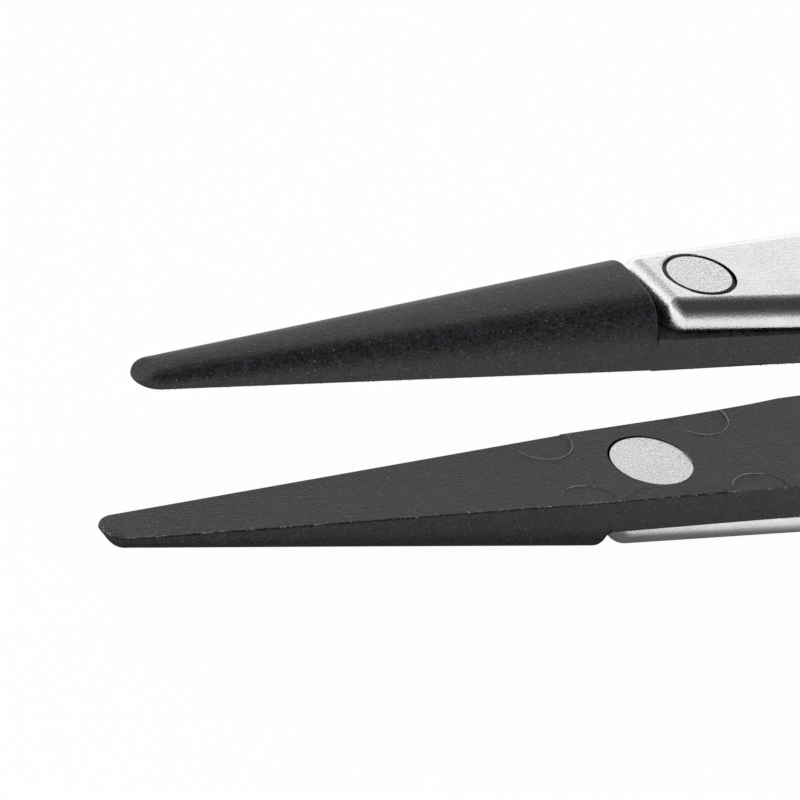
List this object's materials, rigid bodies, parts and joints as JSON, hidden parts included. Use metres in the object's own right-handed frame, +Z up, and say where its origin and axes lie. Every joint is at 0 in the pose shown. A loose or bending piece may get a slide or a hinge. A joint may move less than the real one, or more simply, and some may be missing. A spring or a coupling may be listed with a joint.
{
  "type": "anti-static tweezers",
  "caption": "Anti-static tweezers: bowed spring-steel arms joined at the tail, carrying broad tapered tips of black conductive plastic on flush rivets, for picking up delicate parts.",
  "frame": {"origin": "centre of the bounding box, on the floor: the tweezers lie on the lower arm's back", "axes": "+X from the tips to the tail, +Y across the tips, +Z up, the way the tips open"},
  "size_m": [0.13, 0.011, 0.0199],
  "materials": {
    "arm_steel": "satin stainless steel",
    "tip_plastic": "matt moulded, carbon-filled",
    "rivet_steel": "fine blasted stainless steel"
  },
  "bodies": {
    "root": {"upper_arm": "arm_steel", "lower_arm": "arm_steel", "upper_tip": "tip_plastic", "lower_tip": "tip_plastic", "upper_front_rivet": "rivet_steel", "lower_front_rivet": "rivet_steel", "upper_rear_rivet": "rivet_steel", "lower_rear_rivet": "rivet_steel"}
  },
  "joints": []
}
